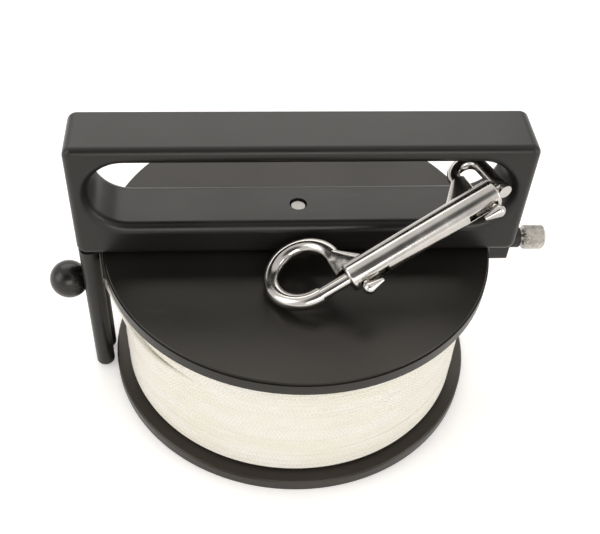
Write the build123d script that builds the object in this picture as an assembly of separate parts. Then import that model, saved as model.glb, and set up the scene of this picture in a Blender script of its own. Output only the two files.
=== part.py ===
from build123d import *
import math
import os

# A line reel: a wound spool that turns on an axle under a slotted overhead handle.
# Millimetres, +Z up, +X along the handle. The origin is on the spool's axis, on the
# underside of the lower flange.

# Spool
flange_radius = 74.2
flange_thickness = 5.3
line_space_height = 54.4
drum_radius = 22.0
flange_edge_chamfer = 0.6
upper_rim_step_height = 1.0
upper_rim_step_depth = 0.45
dimple_inside_rim = 24.2
dimple_radius = 11.0
dimple_depth = 3.2
dimple_rounding = 2.0

# Axle, bushes and nut
axle_radius = 4.0
axle_neck_radius = 3.0
axle_end_window_radius = 3.3
axle_end_window_depth = 1.9
axle_end_recess = 0.9
axle_end_chamfer = 0.4
running_clearance = 0.05
seat_clearance = 0.05
bush_wall = 3.0
bush_head_overhang = 3.5
bush_head_thickness = 0.6
upper_bush_length = 15.0
lower_bush_length = 14.0
thrust_washer_radius = 11.0
thrust_gap = 0.1
nut_flats = 13.0
nut_height = 4.5
nut_pocket_radius = 13.0
nut_pocket_depth = 9.6
lower_washer_radius = 9.0
lower_washer_thickness = 1.0
axle_thread_past_nut = 1.0

# Screws under the lower flange
flange_screw_count = 4
flange_screw_circle = 17.6
flange_screw_radius = 1.75
flange_screw_length = 16.0
flange_screw_head_radius = 3.4
flange_screw_head_height = 2.0
flange_screw_sunk = 0.4
flange_screw_socket_flats = 2.5
flange_screw_socket_depth = 1.3
blind_hole_spare = 1.0

# Handle block
handle_depth = 24.4
handle_height = 48.0
handle_above_spool = 1.5
handle_edge_rounding = 2.9
handle_corner_radius = 3.6
slot_floor_thickness = 13.9
slot_rim_rounding = 3.5
slot_rim_land = 0.4

# Lock screw and the lug that carries it
lug_clearance = 0.8
lug_half_width = 7.0
lug_below_lock = 6.0
lug_rounding = 2.0
lock_insert_radius = 4.4
lock_shank_radius = 3.0
lock_sleeve_radius = 4.1
lock_sleeve_length = 5.5
lock_sleeve_chamfer = 0.5
lock_knob_radius = 4.8
lock_knob_gap = 1.0
lock_knob_length = 8.4
lock_knob_chamfer = 0.7
lock_pad_radius = 2.6
lock_pad_thickness = 2.0
lock_pad_gap = 0.3
lock_pad_stud_radius = 1.4
lock_pad_stud_length = 3.0
lock_slit_width = 1.2
lock_slit_depth = 1.0

# Guide posts
post_radius = 3.75
post_gap = 2.0
front_post_y = -8.0
post_flange_gap = 1.2
post_spigot_radius = 2.5
post_spigot_length = 10.0
post_above_floor = 1.6
post_end_rounding = 1.3

# Line
line_diameter = 1.75
line_turns = 24
winding_section_sides = 16
line_below_rim = 5.0
line_end_clearance = 0.05
line_core_clearance = 0.3
lead_height = 45.5
lead_clearance = 0.3
lead_on_post_clearance = 0.05
ball_radius = 7.5
ball_post_gap = 0.1
ball_bore_clearance = 0.1
knot_radius = 1.9
knot_length = 3.2
knot_rounding = 0.6
knot_pocket_radius = 2.3
knot_pocket_depth = 5.0

# Axle lock and handle grub screws
grub_radius = 2.0
grub_recess = 1.0
grub_socket_flats = 2.0
grub_socket_depth = 2.0

# Double ended bolt snap, from its barrel's end beside the slot down to its left jaw
snap_end_inside_slot = 8.1
snap_end_before_handle = 3.3
snap_end_above_slot_middle = 4.45
snap_run_sideways = 61.8
snap_run_forwards = 25.0
snap_joint_above_spool = 8.2
barrel_radius = 5.3
barrel_bore_radius = 3.0
barrel_end_rounding = 1.0
left_bolt_showing = 11.0
hook_wire_radius = 3.1
hook_radius = 12.2
hook_throat_radius = 8.2
hook_arm_overlap = 3.0
hook_tip_length = 1.0
jaw_socket_radius = 2.5
jaw_socket_depth = 1.3
small_hook_wire_radius = 2.5
small_hook_bend_radius = 5.3
small_hook_throat_radius = 9.0
small_hook_straight = 1.0
small_jaw_reach = 2.8
small_jaw_overrun = 2.6
neck_half_width = 7.5
neck_half_thickness = 3.6
small_neck_top_half_width = 3.3
small_neck_top_half_thickness = 2.8
bolt_nose_radius = 2.35
bolt_piston_radius = 2.9
bolt_piston_tail = 6.0
bolt_nose_rounding = 0.5
bolt_stroke = 8.0
knob_stem_radius = 1.3
knob_slot_half_width = 1.5
knob_slot_end_gap = 0.3
left_knob_inset = 4.4
right_knob_inset = 3.6
knob_radius = 2.4
knob_taper_length = 5.6
knob_point_radius = 0.7
knob_lift = 2.7
snap_spring_wire_radius = 0.35
snap_spring_clearance = 0.25
snap_spring_turns = 10
snap_spring_gap = 0.3

# How far a cut runs past the face that it opens
overrun = 2.0

# Heights and lengths that follow
upper_flange_floor = flange_thickness + line_space_height
spool_height = upper_flange_floor + flange_thickness
handle_bottom = spool_height + handle_above_spool
slot_floor = handle_bottom + slot_floor_thickness
slot_wall = handle_edge_rounding + slot_rim_land + slot_rim_rounding
slot_height = handle_height - slot_floor_thickness - slot_wall
slot_middle = slot_floor + slot_height / 2
post_circle_radius = flange_radius + post_flange_gap + post_radius
post_x = -math.sqrt(post_circle_radius ** 2 - front_post_y ** 2)
rear_post_y = front_post_y + 2 * post_radius + post_gap
handle_half_length = post_radius - post_x
handle_half_depth = handle_depth / 2
slot_length = 2 * (handle_half_length - slot_wall)

up_from_bottom = (Align.CENTER, Align.CENTER, Align.MIN)


def disc(radius, bottom, top):
    return Pos(0, 0, bottom) * Cylinder(radius, top - bottom, align=up_from_bottom)


def tube(outer, inner, bottom, top):
    return disc(outer, bottom, top) - disc(inner, bottom - overrun, top + overrun)


def rod_along_x(radius, start, end):
    return Pos(start, 0, 0) * Rot(0, 90, 0) * Cylinder(radius, end - start, align=up_from_bottom)


def prism(flats, bottom, top):
    corners = RegularPolygon(flats / 2, 6, major_radius=False)
    return Pos(0, 0, bottom) * extrude(corners, top - bottom)


def coil(radius, wire, pitch, turns, straight_end):
    # Each half turn is one tilted semicircle, so the halves meet without a kink.
    reach = math.hypot(radius, pitch / 4)
    path = [Line((radius, -straight_end, 0), (radius, 0, 0))]
    for half in range(2 * turns):
        side = 1 if half % 2 == 0 else -1
        height = half * pitch / 2
        path.append(ThreePointArc(
            (side * radius, 0, height),
            (0, side * reach, height + pitch / 4),
            (-side * radius, 0, height + pitch / 2)))
    top = turns * pitch
    path.append(Line((radius, 0, top), (radius, straight_end, top)))
    section = Plane(origin=(radius, -straight_end, 0), z_dir=(0, 1, 0)) * wire
    return sweep(section, path=Wire([piece.edge() for piece in path]))


# Spool

bush_radius = axle_radius + running_clearance + bush_wall
bush_head_radius = bush_radius + bush_head_overhang
upper_rim_radius = flange_radius - upper_rim_step_depth


def screw_places():
    return PolarLocations(flange_screw_circle, flange_screw_count, start_angle=45)


def make_spool_body():
    upper_flange = disc(flange_radius, upper_flange_floor, spool_height - upper_rim_step_height)
    upper_flange += disc(upper_rim_radius, upper_flange_floor, spool_height)
    rims = upper_flange.edges().filter_by(GeomType.CIRCLE).group_by(Axis.Z)
    upper_flange = chamfer(rims[-1], flange_edge_chamfer / 2)
    body = upper_flange + disc(drum_radius, flange_thickness, upper_flange_floor)
    body -= disc(bush_radius, 0, spool_height + overrun)
    body -= disc(nut_pocket_radius, 0, nut_pocket_depth)
    hole_top = flange_screw_sunk + flange_screw_length + blind_hole_spare
    for place in screw_places():
        body -= place * disc(flange_screw_radius, 0, hole_top)
    return body


def make_lower_flange():
    flange = tube(flange_radius, nut_pocket_radius, 0, flange_thickness)
    outer = flange.edges().filter_by(GeomType.CIRCLE).filter_by(
        lambda edge: edge.radius > drum_radius)
    flange = chamfer(outer, flange_edge_chamfer)
    for place in screw_places():
        flange -= place * disc(flange_screw_radius, 0, flange_thickness + overrun)
        flange -= place * screw_head(flange_screw_sunk)
        flange -= place * disc(flange_screw_head_radius, -overrun, flange_screw_sunk)
    dimple = disc(dimple_radius, -overrun, dimple_depth)
    dimple = fillet(dimple.edges().group_by(Axis.Z)[-1], dimple_rounding)
    return flange - Pos(0, dimple_inside_rim - flange_radius, 0) * dimple


def screw_head(bottom):
    cone = Cone(flange_screw_head_radius, flange_screw_radius, flange_screw_head_height,
                align=up_from_bottom)
    return Pos(0, 0, bottom) * cone


def make_flange_screws():
    screw = screw_head(flange_screw_sunk)
    screw += disc(flange_screw_radius, flange_screw_sunk, flange_screw_sunk + flange_screw_length)
    socket_top = flange_screw_sunk + flange_screw_socket_depth
    screw -= prism(flange_screw_socket_flats, 0, socket_top)
    return Compound([place * screw for place in screw_places()])


def make_upper_bush():
    bush = tube(bush_radius, axle_radius + running_clearance,
                spool_height - upper_bush_length, spool_height)
    head = tube(bush_head_radius, axle_radius + running_clearance,
                spool_height, spool_height + bush_head_thickness)
    return bush + head


def make_lower_bush():
    bush = tube(bush_radius, axle_radius + running_clearance,
                nut_pocket_depth, nut_pocket_depth + lower_bush_length)
    head = tube(bush_head_radius, axle_radius + running_clearance,
                nut_pocket_depth - bush_head_thickness, nut_pocket_depth)
    return bush + head


# Line on the spool

line_radius = line_diameter / 2
winding_outer_radius = flange_radius - line_below_rim
winding_radius = winding_outer_radius - line_radius
line_core_radius = winding_radius - line_radius - line_core_clearance
winding_start = flange_thickness + line_end_clearance + line_radius
winding_pitch = (line_space_height - line_diameter - 2 * line_end_clearance) / line_turns


def make_line_core():
    return tube(line_core_radius, drum_radius, flange_thickness, upper_flange_floor)


def make_line_winding():
    # A many-sided section keeps the long winding light.
    section = RegularPolygon(line_radius, winding_section_sides)
    turns = coil(winding_radius, section, winding_pitch, line_turns, line_diameter)
    return Pos(0, 0, winding_start) * Rot(0, 0, 90) * turns


# Axle

axle_shoulder = handle_bottom
axle_top = slot_floor - axle_end_recess
lower_washer_top = nut_pocket_depth - bush_head_thickness - thrust_gap
nut_top = lower_washer_top - lower_washer_thickness
axle_bottom = nut_top - nut_height - axle_thread_past_nut
thrust_washer_bottom = spool_height + bush_head_thickness + thrust_gap


def make_axle():
    axle = disc(axle_radius, axle_bottom, axle_shoulder)
    axle += disc(axle_neck_radius, axle_shoulder, axle_top)
    ends = axle.edges().filter_by(GeomType.CIRCLE).group_by(Axis.Z)
    return chamfer(ends[0] + ends[-1], axle_end_chamfer)


def make_axle_nut():
    nut = prism(nut_flats, nut_top - nut_height, nut_top)
    return nut - disc(axle_radius, 0, spool_height)


def make_lower_washer():
    return tube(lower_washer_radius, axle_radius, nut_top, lower_washer_top)


def make_thrust_washer():
    return tube(thrust_washer_radius, axle_radius + running_clearance,
                thrust_washer_bottom, handle_bottom)


# Handle

lug_inner_face = flange_radius + lug_clearance
lock_height = spool_height - flange_thickness / 2
lug_bottom = lock_height - lug_below_lock
grub_height = (handle_bottom + slot_floor - axle_end_window_depth) / 2


def upright_sketch(sketch, depth):
    return Pos(0, depth / 2, 0) * Rot(90, 0, 0) * extrude(sketch, depth)


def make_handle():
    outline = RectangleRounded(2 * handle_half_length, handle_height, handle_corner_radius)
    block = upright_sketch(outline, handle_depth)
    faces = block.faces().sort_by(Axis.Y)
    block = fillet(faces[0].edges() + faces[-1].edges(), handle_edge_rounding)
    block = Pos(0, 0, handle_bottom + handle_height / 2) * block
    slot = Pos(0, 0, slot_middle) * upright_sketch(
        SlotOverall(slot_length, slot_height), handle_depth + 2 * overrun)
    block -= slot
    rims = block.faces().filter_by(GeomType.PLANE).filter_by(Axis.Y)
    rim_edges = [edge for face in rims for wire in face.inner_wires() for edge in wire.edges()]
    block = fillet(rim_edges, slot_rim_rounding)
    return block + lock_lug() - handle_holes()


def lock_lug():
    width = handle_half_length - lug_inner_face
    height = handle_bottom + handle_edge_rounding + handle_corner_radius - lug_bottom
    lug = Pos(lug_inner_face + width / 2, 0, lug_bottom) * Box(
        width, 2 * lug_half_width, height, align=up_from_bottom)
    lower_corners = lug.faces().sort_by(Axis.Z)[0].edges().filter_by(Axis.X)
    return fillet(lower_corners, lug_rounding)


def handle_holes():
    holes = disc(axle_neck_radius + seat_clearance, handle_bottom - overrun, slot_floor)
    holes += disc(axle_end_window_radius, slot_floor - axle_end_window_depth, slot_middle)
    holes += Pos(0, 0, lock_height) * rod_along_x(
        lock_insert_radius, lug_inner_face - overrun, handle_half_length + overrun)
    for post_y in (front_post_y, rear_post_y):
        holes += Pos(post_x, post_y, 0) * disc(
            post_spigot_radius + seat_clearance, handle_bottom - overrun,
            handle_bottom + post_spigot_length + blind_hole_spare)
    holes += Pos(0, handle_half_depth + overrun, grub_height) * Rot(90, 0, 0) * Cylinder(
        grub_radius, handle_half_depth + overrun, align=up_from_bottom)
    return holes


def make_axle_grub():
    end = handle_half_depth - grub_recess
    grub = Pos(0, end, grub_height) * Rot(90, 0, 0) * Cylinder(
        grub_radius, end - axle_neck_radius, align=up_from_bottom)
    socket = Pos(0, end, grub_height) * Rot(90, 0, 0) * prism(
        grub_socket_flats, 0, grub_socket_depth)
    return grub - socket


def make_guide_post(post_y):
    post = disc(post_radius, post_above_floor, handle_bottom)
    post = fillet(post.edges().group_by(Axis.Z)[0], post_end_rounding)
    post += disc(post_spigot_radius, handle_bottom, handle_bottom + post_spigot_length)
    return Pos(post_x, post_y, 0) * post


# Lock screw

lock_pad_face = flange_radius + lock_pad_gap
lock_screw_tip = lock_pad_face + lock_pad_thickness + thrust_gap
lock_sleeve_end = handle_half_length + lock_sleeve_length
lock_knob_start = lock_sleeve_end + lock_knob_gap
lock_knob_end = lock_knob_start + lock_knob_length
lock_bore_radius = lock_shank_radius + running_clearance


def at_lock(shape):
    return Pos(0, 0, lock_height) * shape


def make_lock_insert():
    insert = rod_along_x(lock_insert_radius, lug_inner_face, handle_half_length)
    insert -= rod_along_x(lock_bore_radius, 0, lock_knob_end)
    return at_lock(insert)


def make_lock_sleeve():
    sleeve = rod_along_x(lock_sleeve_radius, handle_half_length, lock_sleeve_end)
    sleeve = chamfer(sleeve.edges().group_by(Axis.X)[-1], lock_sleeve_chamfer)
    sleeve -= rod_along_x(lock_bore_radius, 0, lock_knob_end)
    return at_lock(sleeve)


def make_lock_pad():
    pad = rod_along_x(lock_pad_radius, lock_pad_face, lock_pad_face + lock_pad_thickness)
    stud_start = lock_pad_face + lock_pad_thickness
    pad += rod_along_x(lock_pad_stud_radius, stud_start, stud_start + lock_pad_stud_length)
    return at_lock(pad)


def make_lock_screw():
    knob = rod_along_x(lock_knob_radius, lock_knob_start, lock_knob_end)
    knob = chamfer(knob.edges().filter_by(GeomType.CIRCLE), lock_knob_chamfer)
    screw = knob + rod_along_x(lock_shank_radius, lock_screw_tip, lock_knob_start)
    stud_room = lock_pad_thickness + lock_pad_stud_length + thrust_gap
    screw -= rod_along_x(lock_pad_stud_radius + running_clearance,
                         lock_screw_tip - overrun, lock_pad_face + stud_room)
    slit = Pos(lock_knob_end, 0, 0) * Box(
        2 * lock_slit_depth, 3 * lock_knob_radius, lock_slit_width)
    return at_lock(screw - slit)


# Line from the spool, round the front guide post, to the stopper ball

lead_start_radius = winding_outer_radius + lead_clearance + line_radius
lead_wrap_radius = post_radius + lead_on_post_clearance + line_radius
post_angle = math.atan2(front_post_y, post_x)
cross_angle = math.acos((lead_start_radius + lead_wrap_radius) / post_circle_radius)
leave_angle = post_angle + cross_angle
lead_start = Vector(lead_start_radius * math.cos(leave_angle),
                    lead_start_radius * math.sin(leave_angle), lead_height)
ball_from_post = post_radius + ball_post_gap + ball_radius
post_gap_middle = (front_post_y + rear_post_y) / 2
ball_reach = math.sqrt(ball_from_post ** 2 - (post_gap_middle - front_post_y) ** 2) - post_x
ball_centre = Vector(-ball_reach, post_gap_middle, lead_height)


def lead_corner():
    # The straight from the spool and the straight to the ball both touch the wrap circle.
    post = Vector(post_x, front_post_y, lead_height)
    to_ball = ball_centre - post
    ball_distance = to_ball.length
    off_angle = math.acos(lead_wrap_radius / ball_distance)
    exit_angle = math.atan2(to_ball.Y, to_ball.X) - off_angle
    entry_angle = leave_angle + math.pi
    half_wrap = ((exit_angle - entry_angle) % (2 * math.pi)) / 2
    middle_angle = entry_angle + half_wrap
    reach = lead_wrap_radius / math.cos(half_wrap)
    return post + Vector(reach * math.cos(middle_angle), reach * math.sin(middle_angle), 0)


lead_bend = lead_corner()
ball_direction = (ball_centre - lead_bend).normalized()
knot_start = ball_centre + ball_direction * (ball_radius - knot_pocket_depth)
knot_middle = knot_start + ball_direction * (knot_length / 2)


def along(direction, origin, radius, length):
    return Plane(origin=origin, z_dir=direction) * Cylinder(radius, length, align=up_from_bottom)


def make_line_lead():
    run = FilletPolyline(lead_start, lead_bend, knot_middle, radius=lead_wrap_radius)
    section = Plane(origin=lead_start, z_dir=lead_bend - lead_start) * Circle(line_radius)
    return sweep(section, path=Wire([edge for edge in run.edges()]))


def make_stopper_ball():
    ball = Pos(ball_centre) * Sphere(ball_radius)
    hole_start = ball_centre - ball_direction * (ball_radius + overrun)
    ball -= along(ball_direction, hole_start, line_radius + ball_bore_clearance,
                  2 * (ball_radius + overrun))
    return ball - along(ball_direction, knot_start, knot_pocket_radius, ball_radius)


def make_line_knot():
    knot = Cylinder(knot_radius, knot_length, align=up_from_bottom)
    knot = fillet(knot.edges().filter_by(GeomType.CIRCLE), knot_rounding)
    knot -= Pos(0, 0, -overrun) * Cylinder(
        line_radius, overrun + knot_length / 2, align=up_from_bottom)
    return Plane(origin=knot_start, z_dir=ball_direction) * knot


# Bolt snap, drawn along +X with its hooks towards +Y, then laid in its place

snap_end = Vector(
    slot_length / 2 - snap_end_inside_slot,
    -handle_half_depth - snap_end_before_handle,
    slot_middle + snap_end_above_slot_middle)
snap_joint = Vector(
    snap_end.X - snap_run_sideways,
    snap_end.Y - snap_run_forwards,
    spool_height + snap_joint_above_spool)
snap_direction = (snap_end - snap_joint).normalized()
snap_side = Vector(0, 0, 1).cross(snap_direction).normalized()
snap_up = snap_direction.cross(snap_side)
snap_plane = Plane(origin=snap_end, x_dir=snap_direction, z_dir=snap_up)
joint_x = -(snap_end - snap_joint).length
barrel_left = joint_x + left_bolt_showing
left_knob_x = barrel_left + left_knob_inset
right_knob_x = -right_knob_inset
small_jaw_x = small_jaw_reach


def elliptic_loft(low, high):
    sections = [Plane(origin=(x, y, 0), x_dir=(1, 0, 0), z_dir=(0, 1, 0)) * Ellipse(wide, thick)
                for x, y, wide, thick in (low, high)]
    return loft(sections)


def large_hook():
    throat_x = joint_x - hook_tip_length + hook_radius
    throat_y = hook_arm_overlap + hook_throat_radius
    root_x = throat_x + hook_throat_radius
    ring_x = joint_x - hook_tip_length
    ring_y = hook_radius
    slant = math.sqrt(0.5)
    arms = [
        ThreePointArc((root_x, hook_arm_overlap, 0),
                      (root_x - hook_throat_radius * slant,
                       throat_y - hook_throat_radius * slant, 0),
                      (throat_x, throat_y, 0)),
        Line((throat_x, throat_y, 0), (throat_x, ring_y, 0)),
        ThreePointArc((throat_x, ring_y, 0), (ring_x, ring_y + hook_radius, 0),
                      (ring_x - hook_radius, ring_y, 0)),
        ThreePointArc((ring_x - hook_radius, ring_y, 0),
                      (ring_x - hook_radius * slant, ring_y - hook_radius * slant, 0),
                      (ring_x, 0, 0)),
        Line((ring_x, 0, 0), (joint_x, 0, 0))]
    start = Plane(origin=(root_x, hook_arm_overlap, 0), z_dir=(-1, 0, 0))
    hook = sweep(start * Circle(hook_wire_radius), path=Wire([arm.edge() for arm in arms]))
    neck = elliptic_loft(
        (root_x - hook_throat_radius / 2, hook_arm_overlap, neck_half_width, neck_half_thickness),
        (throat_x, ring_y, hook_wire_radius, hook_wire_radius))
    return hook + neck


def small_hook():
    arm_x = small_jaw_x - 2 * small_hook_bend_radius
    root_x = arm_x - small_hook_throat_radius
    throat_y = hook_arm_overlap + small_hook_throat_radius
    bend_y = throat_y + small_hook_straight
    slant = math.sqrt(0.5)
    arms = [
        ThreePointArc((root_x, hook_arm_overlap, 0),
                      (root_x + small_hook_throat_radius * slant,
                       throat_y - small_hook_throat_radius * slant, 0),
                      (arm_x, throat_y, 0)),
        Line((arm_x, throat_y, 0), (arm_x, bend_y, 0)),
        ThreePointArc((arm_x, bend_y, 0),
                      (arm_x + small_hook_bend_radius, bend_y + small_hook_bend_radius, 0),
                      (small_jaw_x, bend_y, 0)),
        Line((small_jaw_x, bend_y, 0), (small_jaw_x, -small_jaw_overrun, 0))]
    start = Plane(origin=(root_x, hook_arm_overlap, 0), z_dir=(1, 0, 0))
    hook = sweep(start * Circle(small_hook_wire_radius), path=Wire([arm.edge() for arm in arms]))
    neck = elliptic_loft(
        (arm_x - small_hook_throat_radius / 2, hook_arm_overlap,
         neck_half_width, neck_half_thickness),
        (arm_x, throat_y, small_neck_top_half_width, small_neck_top_half_thickness))
    return hook + neck


def make_snap_body():
    barrel = rod_along_x(barrel_radius, barrel_left, 0)
    barrel = fillet(barrel.edges().filter_by(GeomType.CIRCLE), barrel_end_rounding)
    body = barrel + large_hook() + small_hook()
    body -= rod_along_x(barrel_bore_radius, barrel_left - overrun,
                        small_jaw_x - small_hook_wire_radius)
    body -= rod_along_x(jaw_socket_radius, joint_x - jaw_socket_depth, joint_x + overrun)
    body -= rod_along_x(jaw_socket_radius, 0, small_jaw_x + jaw_socket_depth / 2)
    for knob_x, inward in ((left_knob_x, 1), (right_knob_x, -1)):
        reach = knob_slot_half_width + knob_slot_end_gap
        ends = sorted((knob_x - inward * reach, knob_x + inward * (bolt_stroke + reach)))
        body -= Pos(ends[0], 0, 0) * Box(
            ends[1] - ends[0], 2 * barrel_radius, 2 * knob_slot_half_width,
            align=(Align.MIN, Align.MAX, Align.CENTER))
    return snap_plane * body


def make_bolt(nose, knob_x, inward):
    tail = knob_x + inward * bolt_piston_tail
    shoulder = knob_x - inward * (knob_stem_radius + knob_slot_end_gap)
    nose_rod = rod_along_x(bolt_nose_radius, min(nose, shoulder), max(nose, shoulder))
    ends = nose_rod.edges().filter_by(GeomType.CIRCLE).sort_by(Axis.X)
    nose_rod = fillet(ends[0] if inward > 0 else ends[-1], bolt_nose_rounding)
    bolt = nose_rod + rod_along_x(bolt_piston_radius, min(shoulder, tail), max(shoulder, tail))
    stem_hole = Pos(knob_x, 0, 0) * Rot(90, 0, 0) * Cylinder(
        knob_stem_radius, barrel_radius, align=up_from_bottom)
    return snap_plane * (bolt - stem_hole)


def make_knob(knob_x, inward):
    height = barrel_radius + knob_lift
    stem = Rot(90, 0, 0) * Cylinder(knob_stem_radius, height, align=up_from_bottom)
    slant = math.sqrt(0.5)
    profile = make_face([
        ThreePointArc((-knob_radius, 0), (-knob_radius * slant, knob_radius * slant),
                      (0, knob_radius)).edge(),
        Line((0, knob_radius), (knob_taper_length, knob_point_radius)).edge(),
        Line((knob_taper_length, knob_point_radius), (knob_taper_length, 0)).edge(),
        Line((knob_taper_length, 0), (-knob_radius, 0)).edge()])
    teardrop = revolve(profile, Axis.X)
    if inward < 0:
        teardrop = Rot(0, 0, 180) * teardrop
    return snap_plane * Pos(knob_x, 0, 0) * (stem + Pos(0, -height, 0) * teardrop)


def make_snap_spring():
    left_end = left_knob_x + bolt_piston_tail + bolt_stroke + snap_spring_gap
    right_end = right_knob_x - bolt_piston_tail - bolt_stroke - snap_spring_gap
    pitch = (right_end - left_end - 2 * snap_spring_wire_radius) / snap_spring_turns
    mean_radius = barrel_bore_radius - snap_spring_clearance - snap_spring_wire_radius
    wire = Circle(snap_spring_wire_radius)
    spring = coil(mean_radius, wire, pitch, snap_spring_turns, 2 * snap_spring_wire_radius)
    return snap_plane * Pos(left_end + snap_spring_wire_radius, 0, 0) * Rot(0, 90, 0) * spring


# Where the bolts' noses rest in the jaws
left_nose = joint_x - jaw_socket_depth + knob_slot_end_gap
right_nose = small_jaw_x

pieces = {
    "handle_frame": make_handle(),
    "axle": make_axle(),
    "axle_grub_screw": make_axle_grub(),
    "axle_nut": make_axle_nut(),
    "lower_washer": make_lower_washer(),
    "thrust_washer": make_thrust_washer(),
    "guide_post_front": make_guide_post(front_post_y),
    "guide_post_rear": make_guide_post(rear_post_y),
    "lock_insert": make_lock_insert(),
    "lock_sleeve": make_lock_sleeve(),
    "lock_pad": make_lock_pad(),
    "lock_screw": make_lock_screw(),
    "spool_body": make_spool_body(),
    "lower_flange": make_lower_flange(),
    "flange_screws": make_flange_screws(),
    "upper_bush": make_upper_bush(),
    "lower_bush": make_lower_bush(),
    "line_core": make_line_core(),
    "line_winding": make_line_winding(),
    "line_lead": make_line_lead(),
    "line_knot": make_line_knot(),
    "stopper_ball": make_stopper_ball(),
    "snap_body": make_snap_body(),
    "snap_bolt_left": make_bolt(left_nose, left_knob_x, 1),
    "snap_bolt_right": make_bolt(right_nose, right_knob_x, -1),
    "snap_knob_left": make_knob(left_knob_x, 1),
    "snap_knob_right": make_knob(right_knob_x, -1),
    "snap_spring": make_snap_spring(),
}

os.makedirs("parts", exist_ok=True)
for name, piece in pieces.items():
    export_step(piece, f"parts/{name}.step")
    print(name, round(piece.volume, 1))

print("gap between neighbouring turns", round(winding_pitch - line_diameter, 3))
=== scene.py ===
import math

import bmesh
import bpy
import numpy as np
from mathutils import Matrix, Vector


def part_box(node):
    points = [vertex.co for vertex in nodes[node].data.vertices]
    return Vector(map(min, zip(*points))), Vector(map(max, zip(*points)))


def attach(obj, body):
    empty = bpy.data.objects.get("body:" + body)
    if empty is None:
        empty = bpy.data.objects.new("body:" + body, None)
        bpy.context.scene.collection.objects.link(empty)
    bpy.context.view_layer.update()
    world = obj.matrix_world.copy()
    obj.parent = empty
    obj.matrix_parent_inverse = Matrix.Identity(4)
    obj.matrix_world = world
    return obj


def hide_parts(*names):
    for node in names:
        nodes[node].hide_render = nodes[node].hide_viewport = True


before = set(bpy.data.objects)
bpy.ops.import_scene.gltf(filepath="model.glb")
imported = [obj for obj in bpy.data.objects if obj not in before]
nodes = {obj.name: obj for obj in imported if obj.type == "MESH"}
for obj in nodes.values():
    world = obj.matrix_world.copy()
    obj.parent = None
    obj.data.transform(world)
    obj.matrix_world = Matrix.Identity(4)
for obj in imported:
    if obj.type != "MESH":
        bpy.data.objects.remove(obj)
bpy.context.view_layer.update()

# The reel stands on z = 0 with its spool's axis on the origin. Lengths are metres.

mm = 0.001


# Shader helpers

def setInputs(node, **values):
    for name, value in values.items():
        node.inputs[name.replace("_", " ")].default_value = value


# A socket takes either a plain value or a link from another node.
def feed(tree, socket, value):
    if isinstance(value, bpy.types.NodeSocket):
        tree.links.new(value, socket)
    else:
        socket.default_value = value


def newMaterial(name):
    material = bpy.data.materials.new(name)
    material.use_nodes = True
    tree = material.node_tree
    tree.nodes.clear()
    output = tree.nodes.new("ShaderNodeOutputMaterial")
    shader = tree.nodes.new("ShaderNodeBsdfPrincipled")
    tree.links.new(shader.outputs["BSDF"], output.inputs["Surface"])
    return material, tree, shader


def newGroup(name, inputs, outputs):
    group = bpy.data.node_groups.new(name, "ShaderNodeTree")
    for socketName, kind in inputs.items():
        group.interface.new_socket(socketName, in_out="INPUT", socket_type=kind)
    for socketName in outputs:
        group.interface.new_socket(socketName, in_out="OUTPUT", socket_type="NodeSocketFloat")
    return group, group.nodes.new("NodeGroupInput"), group.nodes.new("NodeGroupOutput")


def useGroup(tree, group, **inputs):
    node = tree.nodes.new("ShaderNodeGroup")
    node.node_tree = group
    for name, value in inputs.items():
        feed(tree, node.inputs[name.replace("_", " ")], value)
    return node.outputs


def mathNode(tree, operation, *values):
    node = tree.nodes.new("ShaderNodeMath")
    node.operation = operation
    for socket, value in zip(node.inputs, values):
        feed(tree, socket, value)
    return node.outputs[0]


def noiseNode(tree, coordinates, scale, detail=3.0):
    node = tree.nodes.new("ShaderNodeTexNoise")
    feed(tree, node.inputs["Vector"], coordinates)
    feed(tree, node.inputs["Scale"], scale)
    node.inputs["Detail"].default_value = detail
    return node.outputs["Fac"]


def mapValue(tree, value, low, high, fromLow=0.0, fromHigh=1.0):
    node = tree.nodes.new("ShaderNodeMapRange")
    tree.links.new(value, node.inputs["Value"])
    setInputs(node, From_Min=fromLow, From_Max=fromHigh, To_Min=low, To_Max=high)
    return node.outputs["Result"]


def mixColour(tree, mask, first, second):
    node = tree.nodes.new("ShaderNodeMix")
    node.data_type = "RGBA"
    tree.links.new(mask, node.inputs["Factor"])
    feed(tree, node.inputs["A"], first)
    feed(tree, node.inputs["B"], second)
    return node.outputs["Result"]


def bumpNode(tree, height, distance, strength, normal=None):
    node = tree.nodes.new("ShaderNodeBump")
    setInputs(node, Strength=strength, Distance=distance)
    tree.links.new(height, node.inputs["Height"])
    if normal is not None:
        tree.links.new(normal, node.inputs["Normal"])
    return node.outputs["Normal"]


def stretched(tree, point, scale, turn=(0, 0, 0)):
    mapping = tree.nodes.new("ShaderNodeMapping")
    setInputs(mapping, Scale=scale, Rotation=turn)
    tree.links.new(point, mapping.inputs["Vector"])
    return mapping.outputs["Vector"]


# Finishes of the hard pieces

wearLook = {
    "cloudDetail": 4.0,
    "cloudRange": (0.3, 0.7),
    "fineDetail": 2.0,
    "markStrength": 0.5,
    "grainScale": 5200.0,
    "grainStrength": 0.6,
    "scuffScale": 520.0,
    "scuffRoughness": 0.15,
    "scuffStretch": (0.035, 1.0, 1.0),
    "scuffTurn": (0.3, 0.5, 0.65),
    "scuffRange": (0.64, 0.72),
    "patchScale": 34.0,
    "patchRange": (0.50, 0.64),
}


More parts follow.
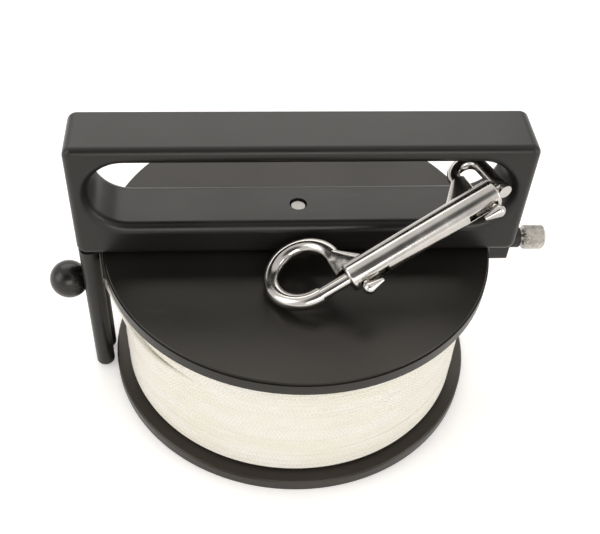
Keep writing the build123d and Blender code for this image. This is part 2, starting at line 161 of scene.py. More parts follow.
# Cloud is a slow change of tone, Marks the fine lines left by the cutter, Grain the finest
# roughness, and Scuffs a mask of short slanting rubs that lie in patches.
def wearGroup(look):
    group, start, end = newGroup(
        "surfaceWear",
        {"Point": "NodeSocketVector", "Cut Point": "NodeSocketVector",
         "Cloud Scale": "NodeSocketFloat", "Mark Scale": "NodeSocketFloat"},
        ("Cloud", "Marks", "Grain", "Scuffs"))
    point = start.outputs["Point"]
    slanted = stretched(group, point, look["scuffStretch"], look["scuffTurn"])
    rubs = mapValue(group, noiseNode(group, slanted, look["scuffScale"]), 0.0, 1.0,
                    *look["scuffRange"])
    patches = mapValue(group, noiseNode(group, point, look["patchScale"]), 0.0, 1.0,
                       *look["patchRange"])
    made = {
        "Cloud": noiseNode(group, point, start.outputs["Cloud Scale"], look["cloudDetail"]),
        "Marks": noiseNode(group, start.outputs["Cut Point"], start.outputs["Mark Scale"],
                           look["fineDetail"]),
        "Grain": noiseNode(group, point, look["grainScale"], look["fineDetail"]),
        "Scuffs": mathNode(group, "MULTIPLY", rubs, patches),
    }
    for name, value in made.items():
        group.links.new(value, end.inputs[name])
    return group


# A turned piece is cut in rings: its lines follow the distance from the spool's axis and z.
def ringPoint(tree, point):
    split = tree.nodes.new("ShaderNodeSeparateXYZ")
    tree.links.new(point, split.inputs["Vector"])
    squares = [mathNode(tree, "MULTIPLY", split.outputs[axis], split.outputs[axis])
               for axis in ("X", "Y")]
    rings = tree.nodes.new("ShaderNodeCombineXYZ")
    tree.links.new(mathNode(tree, "SQRT", mathNode(tree, "ADD", *squares)), rings.inputs["X"])
    tree.links.new(split.outputs["Z"], rings.inputs["Y"])
    return rings.outputs["Vector"]


# Tone and roughness follow the cloud. Roughness = cloud's share of its range, plus or minus the
# shine of the cut marks, plus what the scuffs add.
def makeFinish(name, look, wear):
    material, tree, shader = newMaterial(name)
    point = tree.nodes.new("ShaderNodeTexCoord").outputs["Object"]
    stretch = look["cutStretch"]
    cutPoint = ringPoint(tree, point) if stretch == "rings" else stretched(tree, point, stretch)
    effects = useGroup(tree, wear, Point=point, Cut_Point=cutPoint,
                       Cloud_Scale=look["cloudScale"], Mark_Scale=look["markScale"])
    cloudRange = wearLook["cloudRange"]
    tone = mixColour(tree, mapValue(tree, effects["Cloud"], 0.0, 1.0, *cloudRange),
                     look["colour"], look["paler"])
    scuffs = mathNode(tree, "MULTIPLY", effects["Scuffs"], look["scuffs"])
    tree.links.new(mixColour(tree, scuffs, tone, look["scuffColour"]),
                   shader.inputs["Base Color"])
    rough = mapValue(tree, effects["Cloud"], *look["roughness"], *cloudRange)
    shine = mapValue(tree, effects["Marks"], -look["markShine"], look["markShine"])
    rough = mathNode(tree, "ADD", rough, shine)
    scuffed = mathNode(tree, "MULTIPLY", scuffs, wearLook["scuffRoughness"])
    tree.links.new(mathNode(tree, "ADD", rough, scuffed), shader.inputs["Roughness"])
    normal = bumpNode(tree, effects["Marks"], look["markDepth"], wearLook["markStrength"])
    normal = bumpNode(tree, effects["Grain"], look["grainDepth"], wearLook["grainStrength"],
                      normal)
    tree.links.new(normal, shader.inputs["Normal"])
    setInputs(shader, Metallic=look["metallic"], IOR=look["ior"], Specular_Tint=look["tint"])
    return material


blackPlastic = {
    "colour": (0.0085, 0.0079, 0.0072, 1), "paler": (0.0135, 0.0126, 0.0116, 1),
    "scuffColour": (0.045, 0.044, 0.042, 1), "scuffs": 0.35,
    "roughness": (0.27, 0.37), "markShine": 0.05,
    "cutStretch": (0.05, 1, 1), "cloudScale": 26.0, "markScale": 1100.0,
    "markDepth": 0.008 * mm, "grainDepth": 0.010 * mm,
    "metallic": 0.0, "ior": 1.40, "tint": (1.0, 0.985, 0.955, 1),
}

turnedPlastic = {
    **blackPlastic, "cutStretch": "rings", "markScale": 2600.0, "markDepth": 0.005 * mm,
    "colour": (0.0085, 0.0078, 0.0070, 1), "paler": (0.0140, 0.0128, 0.0115, 1),
    "roughness": (0.30, 0.41), "scuffs": 0.45, "tint": (1.0, 0.95, 0.865, 1),
}

paleMetal = {
    "colour": (0.60, 0.585, 0.56, 1), "paler": (0.70, 0.685, 0.66, 1),
    "scuffColour": (0.42, 0.41, 0.39, 1), "scuffs": 0.4,
    "roughness": (0.22, 0.34), "markShine": 0.05,
    "cutStretch": (1, 1, 1), "cloudScale": 160.0, "markScale": 3800.0,
    "markDepth": 0.006 * mm, "grainDepth": 0.004 * mm,
    "metallic": 1.0, "ior": 1.5, "tint": (1, 1, 1, 1),
}

finishLooks = {
    "handlePlastic": blackPlastic,
    "turnedPlastic": turnedPlastic,
    # Painted bounce light: the lower flange is the same turned black plastic, made paler and
    # warmer to stand in for the warm light the winding throws onto it.
    "lowerPlasticPaintedBounce": {**turnedPlastic, "colour": (0.019, 0.0155, 0.013, 1),
                     "paler": (0.026, 0.0215, 0.018, 1)},
    "bushPlastic": {**blackPlastic, "cutStretch": "rings",
                    "colour": (0.74, 0.72, 0.67, 1), "paler": (0.80, 0.785, 0.745, 1),
                    "scuffColour": (0.55, 0.53, 0.49, 1), "roughness": (0.34, 0.44)},
    "blackRubber": {**blackPlastic, "cutStretch": (1, 1, 1), "roughness": (0.55, 0.68),
                    "colour": (0.017, 0.017, 0.017, 1), "paler": (0.026, 0.026, 0.025, 1)},
    "ballPlastic": {**blackPlastic, "cutStretch": (1, 1, 1), "ior": 1.46,
                    "colour": (0.0055, 0.0053, 0.0050, 1), "paler": (0.009, 0.0086, 0.008, 1),
                    "roughness": (0.22, 0.30), "scuffs": 0.3},
    "satinSteel": paleMetal,
    "axleSteel": {**paleMetal, "cloudScale": 900.0,
                  "colour": (0.25, 0.24, 0.23, 1), "paler": (0.37, 0.36, 0.34, 1),
                  "roughness": (0.38, 0.52), "markDepth": 0.02 * mm},
    "knurledSteel": {**paleMetal, "colour": (0.46, 0.44, 0.405, 1),
                     "paler": (0.62, 0.60, 0.56, 1), "roughness": (0.22, 0.32)},
    "polishedSteel": {**paleMetal, "colour": (0.44, 0.42, 0.395, 1),
                      "paler": (0.58, 0.56, 0.53, 1), "cloudScale": 110.0,
                      "roughness": (0.10, 0.22), "markShine": 0.02, "markDepth": 0.003 * mm},
    "brass": {**paleMetal, "colour": (0.58, 0.42, 0.18, 1), "paler": (0.70, 0.52, 0.25, 1)},
}

finishOfNode = {
    "handle_frame": "handlePlastic",
    "guide_post_front": "handlePlastic",
    "guide_post_rear": "handlePlastic",
    "spool_body": "turnedPlastic",
    "lower_flange": "lowerPlasticPaintedBounce",
    "upper_bush": "bushPlastic",
    "lower_bush": "bushPlastic",
    "thrust_washer": "bushPlastic",
    "axle": "axleSteel",
    "axle_grub_screw": "satinSteel",
    "axle_nut": "satinSteel",
    "lower_washer": "satinSteel",
    "flange_screws": "satinSteel",
    "snap_spring": "satinSteel",
    "lock_insert": "brass",
    "lock_screw": "knurledSteel",
    "lock_sleeve": "blackRubber",
    "lock_pad": "bushPlastic",
    "stopper_ball": "ballPlastic",
    "snap_body": "polishedSteel",
    "snap_bolt_left": "polishedSteel",
    "snap_bolt_right": "polishedSteel",
    "snap_knob_left": "polishedSteel",
    "snap_knob_right": "polishedSteel",
}


def finishNodes():
    wear = wearGroup(wearLook)
    made = {name: makeFinish(name, look, wear) for name, look in finishLooks.items()}
    for nodeName, finishName in finishOfNode.items():
        for place in nodes[nodeName].material_slots:
            place.material = made[finishName]
    return made


finishes = finishNodes()
print("finishes made")


# Pieces from numpy surfaces

def newPiece(name, vertices, faces, material, uvs=None, smooth=True):
    mesh = bpy.data.meshes.new(name)
    mesh.from_pydata(vertices.tolist(), [], faces)
    if uvs is not None:
        layer = mesh.uv_layers.new(name="UVMap")
        layer.data.foreach_set("uv", uvs.astype(np.float32).ravel())
    mesh.materials.append(material)
    mesh.polygons.foreach_set("use_smooth", np.full(len(mesh.polygons), smooth))
    mesh.update()
    piece = bpy.data.objects.new(name, mesh)
    bpy.context.scene.collection.objects.link(piece)
    return piece


# Quads between neighbouring rings of a grid that closes round its columns.
def ringFaces(rows, columns):
    row = np.arange(rows - 1)[:, None]
    column = np.arange(columns)[None, :]
    beside = (column + 1) % columns
    return np.stack([row * columns + column, row * columns + beside,
                     (row + 1) * columns + beside, (row + 1) * columns + column],
                    axis=-1).reshape(-1, 4)


# The UVs of the corners of those quads. The grids have one column more than the rings, so
# that the pattern runs on over the seam.
def ringUvs(across, along):
    grid = np.stack(np.broadcast_arrays(across, along), axis=-1)
    return np.stack([grid[:-1, :-1], grid[:-1, 1:], grid[1:, 1:], grid[1:, :-1]],
                    axis=2).reshape(-1, 2)


# A tube: point = path + radius * (cos a * side + sin a * above), where side and above are
# square to the path. U runs once round it, and V counts braid lengths along it.
def cordPiece(name, path, radius, sides, material, braidLength, upward=(0, 0, 1), loop=False):
    if loop:
        path = np.concatenate([path, path[:1]])
        tangents = np.roll(path[:-1], -1, axis=0) - np.roll(path[:-1], 1, axis=0)
        tangents = np.concatenate([tangents, tangents[:1]])
    else:
        tangents = np.gradient(path, axis=0)
    tangents /= np.linalg.norm(tangents, axis=1)[:, None]
    side = np.cross(upward, tangents)
    side /= np.linalg.norm(side, axis=1)[:, None]
    above = np.cross(tangents, side)
    steps = np.linalg.norm(np.diff(path, axis=0), axis=1)
    along = np.concatenate([[0.0], np.cumsum(steps)])
    if loop:
        braidLength = along[-1] / max(round(along[-1] / braidLength), 1)
    angles = np.arange(sides) / sides * 2 * math.pi
    rings = path[:, None] + radius * (np.cos(angles)[None, :, None] * side[:, None]
                                      + np.sin(angles)[None, :, None] * above[:, None])
    uvs = ringUvs(np.arange(sides + 1)[None, :] / sides, (along / braidLength)[:, None])
    faces = ringFaces(len(path), sides)
    vertices = rings.reshape(-1, 3)
    if loop:
        vertices = vertices[:-sides]
        faces = faces % len(vertices)
        return newPiece(name, vertices, faces.tolist(), material, uvs)
    first = list(range(sides))[::-1]
    last = [len(vertices) - sides + corner for corner in range(sides)]
    uvs = np.concatenate([uvs, np.zeros((2 * sides, 2))])
    return newPiece(name, vertices, faces.tolist() + [first, last], material, uvs)


# Line

braidLook = {
    "colour": (0.90, 0.87, 0.81, 1),
    "tint": (0.865, 0.835, 0.735, 1),
    "paintedShade": (0.68, 0.655, 0.57, 1),
    "tintRange": (0.40, 0.62),
    "shadeShare": 0.6,
    "shadeBelow": 0.7,
    "strandsRound": 4,
    "jitter": 0.9,
    "looseScale": 228.0,
    "looseDetail": 2.0,
    "cloudScale": 38.0,
    "cloudDetail": 4.0,
    "cloudStretch": (1, 1, 5),
    "fuzzScale": 2600.0,
    "fuzz": 0.5,
    "depth": 0.17 * mm,
    "strength": 0.8,
    "roughness": 0.75,
    "sheen": 0.25,
    "sheenRoughness": 0.5,
    "scatter": 0.15,
    "scatterReach": (0.6 * mm, 0.5 * mm, 0.4 * mm),
}

winding = {
    "turns": 29,
    "pointsPerTurn": 150,
    "sides": 10,
    "overlap": 1.05,
    "radialWander": 0.40 * mm,
    "radialSeed": 3,
    "axialWander": 0.28 * mm,
    "axialSeed": 8,
    "waves": 30,
    "waveSpeeds": (0.15, 8.0),
    "waveHeights": (0.3, 1.0),
    "waveFalloff": 0.35,
    "endTuck": 2.4 * mm,
    "tuckTurns": 0.08,
    "endRoom": 0.05 * mm,
    "braidLength": 1.5 * mm,
}

underLayer = {
    "columns": 240,
    "rowsPerRidge": 8,
    "drumRadius": 22.0 * mm,
    "layersDeep": 3.0,
    "valleyFloor": 0.02,
}

lead = {
    "radius": 0.875 * mm,
    "postRoom": 0.05 * mm,
    "windingRoom": 0.3 * mm,
    "sinkAngle": 32.0,
    "sinkDepth": 2.2 * mm,
    "endBeforeFace": 3.7 * mm,
    "curlPoints": 30,
    "wrapPoints": 24,
    "step": 0.45 * mm,
    "sides": 16,
}

knot = {
    "middleBeforeFace": 3.4 * mm,
    "wide": 1.05 * mm,
    "long": 0.82 * mm,
    "lobe": 1.6,
    "spread": 0.577,
    "tube": 0.72 * mm,
    "points": 160,
    "sides": 14,
}

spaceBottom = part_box("line_core")[0][2]
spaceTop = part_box("line_core")[1][2]
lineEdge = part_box("line_winding")[1][0]


# A round braid is two crossed sets of strands: each is |sin(pi * phase)|, with phase = strands
# * U plus or minus V. A chequer of the whole phases says which set is on top, and its height
# is the result.
def braidGroup(look):
    group, start, end = newGroup(
        "roundBraid", {"UV": "NodeSocketVector", "Jitter": "NodeSocketFloat"}, ("Height",))
    split = group.nodes.new("ShaderNodeSeparateXYZ")
    group.links.new(start.outputs["UV"], split.inputs["Vector"])
    around = mathNode(group, "MULTIPLY", split.outputs["X"], look["strandsRound"])
    along = mathNode(group, "ADD", split.outputs["Y"], start.outputs["Jitter"])
    phases = [mathNode(group, operation, around, along) for operation in ("ADD", "SUBTRACT")]
    strands = [mathNode(group, "ABSOLUTE",
                        mathNode(group, "SINE", mathNode(group, "MULTIPLY", phase, math.pi)))
               for phase in phases]
    cell = mathNode(group, "ADD", *[mathNode(group, "FLOOR", phase) for phase in phases])
    over = mathNode(group, "PINGPONG", cell, 1.0)
    under = mathNode(group, "SUBTRACT", 1.0, over)
    height = mathNode(group, "ADD", mathNode(group, "MULTIPLY", strands[0], over),
                      mathNode(group, "MULTIPLY", strands[1], under))
    group.links.new(height, end.inputs["Height"])
    return group


# The colour goes from plain to tint with a cloud drawn out round the spool, and to a painted
# shade in the
# valleys between strands: share = shadeShare at no height, nothing from shadeBelow up.
def makeBraid(name, look):
    material, tree, shader = newMaterial(name)
    point = tree.nodes.new("ShaderNodeTexCoord").outputs["Object"]
    uv = tree.nodes.new("ShaderNodeUVMap").outputs["UV"]
    cloud = noiseNode(tree, stretched(tree, point, look["cloudStretch"]), look["cloudScale"],
                      look["cloudDetail"])
    loose = noiseNode(tree, point, look["looseScale"], look["looseDetail"])
    jitter = mathNode(tree, "MULTIPLY", loose, look["jitter"])
    strands = useGroup(tree, braidGroup(look), UV=uv, Jitter=jitter)
    fuzz = noiseNode(tree, point, look["fuzzScale"])
    base = mixColour(tree, mapValue(tree, cloud, 0.0, 1.0, *look["tintRange"]),
                     look["colour"], look["tint"])
    # Painted shade: the line's colour darkens in the low valleys between strands.
    valleyShade = mapValue(tree, strands["Height"], look["shadeShare"], 0.0, 0.0, look["shadeBelow"])
    base = mixColour(tree, valleyShade, base, look["paintedShade"])
    tree.links.new(base, shader.inputs["Base Color"])
    height = mathNode(tree, "ADD", strands["Height"],
                      mathNode(tree, "MULTIPLY", fuzz, look["fuzz"]))
    tree.links.new(bumpNode(tree, height, look["depth"], look["strength"]),
                   shader.inputs["Normal"])
    setInputs(shader, Roughness=look["roughness"], Sheen_Weight=look["sheen"],
              Sheen_Roughness=look["sheenRoughness"], Subsurface_Weight=look["scatter"],
              Subsurface_Scale=1.0, Subsurface_Radius=look["scatterReach"])
    return material


# A smooth, seeded unevenness along the winding, one unit at its most: a sum of sines, slow
# ones that tell neighbouring turns apart and quick ones within a turn.
def wander(turns, seed, settings):
    random = np.random.default_rng(seed)
    waves = settings["waves"]
    speeds = np.exp(random.uniform(*np.log(settings["waveSpeeds"]), waves))
    phases = random.uniform(0, 2 * math.pi, waves)
    heights = random.uniform(*settings["waveHeights"], waves) / speeds ** settings["waveFalloff"]
    total = (heights * np.sin(2 * math.pi * turns[:, None] * speeds + phases)).sum(axis=1)
    return total / np.abs(total).max()


# A helix: reach = line's edge less its radius, height = one pitch a turn, both with wander.
# Each end dips under its neighbour.
def windingPath(settings):
    turns = settings["turns"]
    pitch = (spaceTop - spaceBottom - 2 * settings["endRoom"]) / (turns + 1)
    radius = pitch / 2 * settings["overlap"]
    along = np.linspace(0, turns, turns * settings["pointsPerTurn"] + 1)
    angle = along * 2 * math.pi + math.pi / 2
    fromEnd = np.clip(np.minimum(along, turns - along) / settings["tuckTurns"], 0, 1)
    tuck = settings["endTuck"] * (1 - fromEnd) ** 2
    inward = settings["radialWander"] * (1 - wander(along, settings["radialSeed"], settings))
    reach = lineEdge - radius - inward - tuck
    height = spaceBottom + settings["endRoom"] + pitch * (along + 0.5)
    upward = settings["axialWander"] * wander(along, settings["axialSeed"], settings)
    height = np.clip(height + upward, spaceBottom + radius, spaceTop - radius)
    return np.stack([reach * np.cos(angle), reach * np.sin(angle), height], axis=1), radius


def buildWinding(settings, material):
    path, radius = windingPath(settings)
    piece = cordPiece("woundLine", path, radius, settings["sides"], material,
                      settings["braidLength"])
    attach(piece, "spool")
    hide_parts("line_winding")
    return radius


# The turns under the outer ones, as a ridged barrel: reach = middle + radius * sqrt(1 - s^2),
# where s runs from -1 to 1 over each ridge and a ridge climbs one pitch a turn. It is closed
# down to the drum.
def buildUnderLayer(settings, turns, radius, braidLength, material):
    columns = settings["columns"]
    ridges = turns + 1
    rows = ridges * settings["rowsPerRidge"] + 1
    share = np.linspace(0, 1, rows)
    angle = np.arange(columns + 1) / columns * 2 * math.pi
    middle = lineEdge - settings["layersDeep"] * radius
    phase = share[:, None] * ridges + angle[None, :] / (2 * math.pi)
    ridge = np.clip(1 - (2 * (phase % 1.0) - 1) ** 2, settings["valleyFloor"], 1)
    reach = middle + radius * np.sqrt(ridge)
    reach = np.pad(reach[:, :-1], ((1, 2), (0, 0)), constant_values=settings["drumRadius"])
    height = np.pad(spaceBottom + share * (spaceTop - spaceBottom), (1, 2), mode="edge")
    height[-1] = spaceBottom
    rings = np.stack([reach * np.cos(angle[:-1]), reach * np.sin(angle[:-1]),
                      np.repeat(height[:, None], columns, axis=1)], axis=-1)
    vertices = rings[:-1].reshape(-1, 3)
    faces = ringFaces(len(rings), columns) % len(vertices)
    uvs = ringUvs(np.pad(phase, ((1, 2), (0, 0)), mode="edge"),
                  (angle * middle / braidLength)[None, :])
    piece = newPiece("lineUnderLayer", vertices, faces.tolist(), material, uvs)
    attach(piece, "spool")
    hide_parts("line_core")


def boxMiddle(nodeName):
    low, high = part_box(nodeName)
    return (np.array(low) + np.array(high)) / 2


def stopperBall():
    low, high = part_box("stopper_ball")
    radius = (high[1] - low[1]) / 2
    middle = boxMiddle("stopper_ball")
    return np.array([high[0] - radius, middle[1], middle[2]]), radius


# Straight from the spool's edge to the front post, round it, and straight to the ball. Both
# straights touch the circle of the wrap, and the start curls in under the winding's face.
def leadPath(settings, ball, ballRadius):
    low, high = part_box("guide_post_front")
    post = boxMiddle("guide_post_front")[:2]
    wrap = (high[0] - low[0]) / 2 + settings["postRoom"] + settings["radius"]
    spoolReach = lineEdge + settings["windingRoom"] + settings["radius"]
    postFar = np.linalg.norm(post)
    startAngle = math.atan2(post[1], post[0]) + math.acos((spoolReach + wrap) / postFar)
    share = np.linspace(1, 0, settings["curlPoints"])
    angle = startAngle + math.radians(settings["sinkAngle"]) * share
    reach = spoolReach - settings["sinkDepth"] * share ** 2
    curl = np.stack([reach * np.cos(angle), reach * np.sin(angle)], axis=1)
    toBall = ball[:2] - post
    leave = math.atan2(toBall[1], toBall[0]) - math.acos(wrap / np.linalg.norm(toBall))
    turn = startAngle + math.pi
    turn = turn + (leave - turn) % (2 * math.pi) * np.linspace(0, 1, settings["wrapPoints"])
    bend = post + wrap * np.stack([np.cos(turn), np.sin(turn)], axis=1)
    away = (ball[:2] - bend[-1]) / np.linalg.norm(ball[:2] - bend[-1])
    stop = ball[:2] + away * (ballRadius - settings["endBeforeFace"])
    flat = np.concatenate([curl, bend, stop[None]])
    steps = np.concatenate([[0.0], np.cumsum(np.linalg.norm(np.diff(flat, axis=0), axis=1))])
    wanted = np.linspace(0, steps[-1], int(steps[-1] / settings["step"]))
    path = np.stack([np.interp(wanted, steps, flat[:, axis]) for axis in (0, 1)], axis=1)
    return np.column_stack([path, np.full(len(path), ball[2])]), np.array([*away, 0.0])


def buildLead(settings, braidLength, material):
    ball, ballRadius = stopperBall()
    path, away = leadPath(settings, ball, ballRadius)
    piece = cordPiece("leadLine", path, settings["radius"], settings["sides"], material,
                      braidLength)
    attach(piece, "frame")
    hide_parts("line_lead")
    return ball, ballRadius, away


# A pulled-down overhand knot is a trefoil with its axis on the line: across = sin t + lobe *
# sin 2t, upward = cos t - lobe * cos 2t, outward = -sin 3t.
def buildKnot(settings, ball, ballRadius, away, braidLength, material):
    turn = np.arange(settings["points"]) / settings["points"] * 2 * math.pi
    wide = settings["wide"] * settings["spread"]
    across = wide * (np.sin(turn) + settings["lobe"] * np.sin(2 * turn))
    upward = wide * (np.cos(turn) - settings["lobe"] * np.cos(2 * turn))
    outward = -settings["long"] * np.sin(3 * turn)
    middle = ball + away * (ballRadius - settings["middleBeforeFace"])
    side = np.array([-away[1], away[0], 0])
    path = (middle + outward[:, None] * away + across[:, None] * side
            + upward[:, None] * np.array([0, 0, 1.0]))
    piece = cordPiece("stopperKnot", path, settings["tube"], settings["sides"], material,
                      braidLength, upward=away, loop=True)
    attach(piece, "frame")
    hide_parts("line_knot")


def buildLine():
    material = makeBraid("braidedLine", braidLook)
    braidLength = winding["braidLength"]
    radius = buildWinding(winding, material)
    buildUnderLayer(underLayer, winding["turns"], radius, braidLength, material)
    ball, ballRadius, away = buildLead(lead, braidLength, material)
    buildKnot(knot, ball, ballRadius, away, braidLength, material)


buildLine()
print("line wound")


# Lock knob

lockKnob = {
    "axisHeight": 62.35 * mm,
    "headStart": 89.0 * mm,
    "radius": 4.8 * mm,
    "knurlDepth": 0.34 * mm,
    "knurlsRound": 26,
    "knurlSharpness": 1.35,
    "edge": 0.7 * mm,
    "shaftRadius": 2.0 * mm,
    "slitWidth": 1.2 * mm,
    "slitDepth": 1.0 * mm,
    "slitReach": 1.2,
    "rows": 90,
    "columns": 312,
    "mergeDistance": 0.001 * mm,
}


# A turned profile along X less a knurl: cut = depth * clip(sharp * ridge - sharp + 1, 0, 1),
# where ridge is the larger of two saw waves that climb round the knob in opposite ways. The
# first and last rings are points on the axis.
def knobGrid(settings, start, end):
    angle = np.arange(settings["columns"]) / settings["columns"] * 2 * math.pi
    headStart, edge = settings["headStart"], settings["edge"]
    along = np.linspace(headStart, end, settings["rows"])
    inward = np.maximum(0, np.maximum(headStart + edge - along, along - end + edge))
    pitch = 2 * math.pi * settings["radius"] / settings["knurlsRound"]
    around = angle[None, :] / (2 * math.pi) * settings["knurlsRound"]
    climb = (along[:, None] - headStart) / pitch
    waves = [np.abs((around + sign * climb) % 1.0 * 2 - 1) for sign in (1, -1)]
    sharp = settings["knurlSharpness"]
    cut = settings["knurlDepth"] * np.clip(sharp * np.maximum(*waves) - sharp + 1, 0, 1)
    cut *= np.clip(1 - inward[:, None] / edge, 0, 1)
    reach = np.pad((settings["radius"] - inward)[:, None] - cut, ((3, 1), (0, 0)))
    reach[1:3] = settings["shaftRadius"]
    stops = np.concatenate([[start, start, headStart], along, [end]])
    return np.stack([np.repeat(stops[:, None], len(angle), axis=1), reach * np.cos(angle),
                     reach * np.sin(angle) + settings["axisHeight"]], axis=-1)


def slitCutter(settings, end):
    deep = end - settings["slitDepth"]
    long = settings["radius"] * settings["slitReach"]
    half = settings["slitWidth"] / 2
    corners = [(x, y, settings["axisHeight"] + z) for x in (deep, end + settings["slitDepth"])
               for y in (-half, half) for z in (-long, long)]
    faces = [(0, 1, 3, 2), (4, 6, 7, 5), (0, 4, 5, 1), (2, 3, 7, 6), (0, 2, 6, 4), (1, 5, 7, 3)]
    mesh = bpy.data.meshes.new("slitCutter")
    mesh.from_pydata(corners, [], faces)
    cutter = bpy.data.objects.new("slitCutter", mesh)
    bpy.context.scene.collection.objects.link(cutter)
    return cutter


def buildLockKnob(settings, material):
    low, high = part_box("lock_screw")
    grid = knobGrid(settings, low[0], high[0])
    faces = ringFaces(len(grid), settings["columns"]).tolist()
    piece = newPiece("lockKnob", grid.reshape(-1, 3), faces, material, smooth=False)
    shell = bmesh.new()
    shell.from_mesh(piece.data)
    bmesh.ops.remove_doubles(shell, verts=shell.verts, dist=settings["mergeDistance"])
    bmesh.ops.triangulate(shell, faces=shell.faces)
    bmesh.ops.recalc_face_normals(shell, faces=shell.faces)
    shell.to_mesh(piece.data)
    shell.free()
    cutter = slitCutter(settings, high[0])
    slit = piece.modifiers.new("slit", "BOOLEAN")
    slit.object = cutter
    slit.solver = "EXACT"
    bpy.context.view_layer.update()
    shaped = piece.evaluated_get(bpy.context.evaluated_depsgraph_get())
    shapedMesh = bpy.data.meshes.new_from_object(shaped)
    piece.modifiers.clear()
    piece.data = shapedMesh
    bpy.data.objects.remove(cutter)
    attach(piece, "lock_knob")
    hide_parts("lock_screw")


buildLockKnob(lockKnob, finishes["knurledSteel"])
print("lock knob made")


# Camera

cameraView = {
    "at": (-28.27 * mm, -264.97 * mm, 307.93 * mm),
    "yaw": 4.769,
    "pitch": -47.528,
    "roll": 2.643,
    "focalPixels": 928.7,
    "middlePixel": (276.6, 317.3),
    "framePixels": (600, 534),
    "sensorWidth": 36.0,
    "nearLimit": 10 * mm,
}


def placeCamera(settings):
    yaw, pitch, roll = (math.radians(settings[key]) for key in ("yaw", "pitch", "roll"))
    forward = Vector((math.sin(yaw) * math.cos(pitch), math.cos(yaw) * math.cos(pitch),
                      math.sin(pitch)))
    level = Vector((math.cos(yaw), -math.sin(yaw), 0))
    upright = level.cross(forward)
    right = level * math.cos(roll) + upright * math.sin(roll)
    above = upright * math.cos(roll) - level * math.sin(roll)
    camera = bpy.data.cameras.new("photoCamera")
    camera.sensor_fit = "HORIZONTAL"
    camera.sensor_width = settings["sensorWidth"]
    width, height = settings["framePixels"]
    camera.lens = settings["focalPixels"] / width * settings["sensorWidth"]
    camera.shift_x = (width / 2 - settings["middlePixel"][0]) / width
    camera.shift_y = (settings["middlePixel"][1] - height / 2) / width
    camera.clip_start = settings["nearLimit"]
    placed = bpy.data.objects.new("photoCamera", camera)
    turn = Matrix((right, above, -forward)).transposed().to_4x4()
    placed.matrix_world = Matrix.Translation(settings["at"]) @ turn
    bpy.context.scene.collection.objects.link(placed)
    bpy.context.scene.camera = placed


placeCamera(cameraView)
print("camera placed")


# Floor and light

studio = {
    "floorSize": 6.0,
    "floorColour": (0.945, 0.935, 0.925, 1),
    "floorRoughness": 0.7,
    "nearLift": 0.28,
    "farLift": 0.85,
    "fadeBetween": (0.5, 1.6),
    "worldColour": (0.97, 0.955, 0.935, 1),
    "worldStrength": 0.6,
    "darkTowards": (-0.07, -0.65, 0.757),
    "darkCosines": (0.86, 0.95),
    "darkShare": 0.85,
}

softLights = {
    "topLight": {"watts": 6, "at": (-0.15, 0.80, 1.00), "aim": (0, 0, 0.05),
                 "size": (1.4, 0.8)},
    "leftLight": {"watts": 4.5, "at": (-1.1, -0.35, 0.65), "aim": (0, 0, 0.05),
                  "size": (0.7, 0.9)},
    "rightLight": {"watts": 3, "at": (1.1, -0.55, 0.45), "aim": (0, 0, 0.03),
                   "size": (0.5, 0.7)},
    "frontLight": {"watts": 5.3, "at": (0.1, -1.3, 0.55), "aim": (0, 0, 0.03),
                   "size": (0.9, 0.5)},
}
lampColour = (1.0, 0.978, 0.945)


# The share of a ray that comes from the camera, a reflection or something clear. Those see a
# brighter studio than the one that lights the reel.
def seenDirectly(tree):
    lightPath = tree.nodes.new("ShaderNodeLightPath")
    either = mathNode(tree, "MAXIMUM", lightPath.outputs["Is Camera Ray"],
                      lightPath.outputs["Is Glossy Ray"])
    return mathNode(tree, "MAXIMUM", either, lightPath.outputs["Is Transmission Ray"])


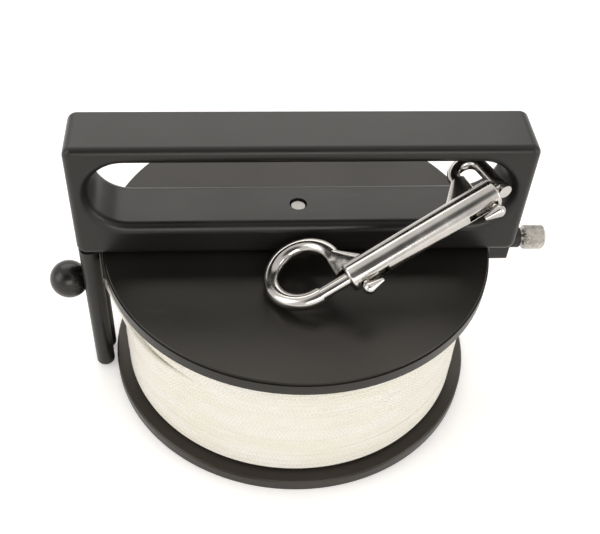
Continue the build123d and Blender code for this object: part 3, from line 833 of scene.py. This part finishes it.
# The floor glows a little where it is seen, and more far away, where the lamps don't reach:
# lift = near to far over the distance from the reel.
def buildFloor(settings):
    material, tree, shader = newMaterial("paleFloor")
    setInputs(shader, Base_Color=settings["floorColour"], Roughness=settings["floorRoughness"],
              Emission_Color=(1, 1, 1, 1))
    distance = tree.nodes.new("ShaderNodeVectorMath")
    distance.operation = "LENGTH"
    tree.links.new(tree.nodes.new("ShaderNodeTexCoord").outputs["Object"], distance.inputs[0])
    lift = mapValue(tree, distance.outputs["Value"], settings["nearLift"], settings["farLift"],
                    *settings["fadeBetween"])
    tree.links.new(mathNode(tree, "MULTIPLY", lift, seenDirectly(tree)),
                   shader.inputs["Emission Strength"])
    half = settings["floorSize"] / 2
    corners = np.array([(-half, -half, 0), (half, -half, 0), (half, half, 0), (-half, half, 0)])
    newPiece("studioFloor", corners, [[0, 1, 2, 3]], material, smooth=False)


# Reflections also show the darker side of the room, where the camera stands: a round patch
# about one direction, from the cosine of the angle to it.
def darkSide(tree, settings):
    towards = tree.nodes.new("ShaderNodeVectorMath")
    towards.operation = "DOT_PRODUCT"
    tree.links.new(tree.nodes.new("ShaderNodeTexCoord").outputs["Generated"], towards.inputs[0])
    towards.inputs[1].default_value = settings["darkTowards"]
    patch = mapValue(tree, towards.outputs["Value"], 0.0, settings["darkShare"],
                     *settings["darkCosines"])
    glossy = tree.nodes.new("ShaderNodeLightPath").outputs["Is Glossy Ray"]
    return mathNode(tree, "SUBTRACT", 1.0, mathNode(tree, "MULTIPLY", patch, glossy))


# The camera itself sees pure white behind the reel.
def buildWorld(settings):
    world = bpy.data.worlds.new("paleStudio")
    world.use_nodes = True
    tree = world.node_tree
    background = tree.nodes["Background"]
    cameraRay = tree.nodes.new("ShaderNodeLightPath").outputs["Is Camera Ray"]
    tree.links.new(mixColour(tree, cameraRay, settings["worldColour"], (1, 1, 1, 1)),
                   background.inputs["Color"])
    level = mapValue(tree, seenDirectly(tree), settings["worldStrength"], 1.0)
    tree.links.new(mathNode(tree, "MULTIPLY", level, darkSide(tree, settings)),
                   background.inputs["Strength"])
    bpy.context.scene.world = world


def buildLight(name, settings):
    light = bpy.data.lights.new(name, "AREA")
    light.shape = "RECTANGLE"
    light.size, light.size_y = settings["size"]
    light.energy = settings["watts"]
    light.color = lampColour
    placed = bpy.data.objects.new(name, light)
    aim = Vector(settings["aim"]) - Vector(settings["at"])
    placed.location = settings["at"]
    placed.rotation_euler = aim.to_track_quat("-Z", "Y").to_euler()
    bpy.context.scene.collection.objects.link(placed)


buildFloor(studio)
buildWorld(studio)
for lightName, lightSettings in softLights.items():
    buildLight(lightName, lightSettings)
bpy.context.scene.view_settings.view_transform = "Standard"
print("studio lit")
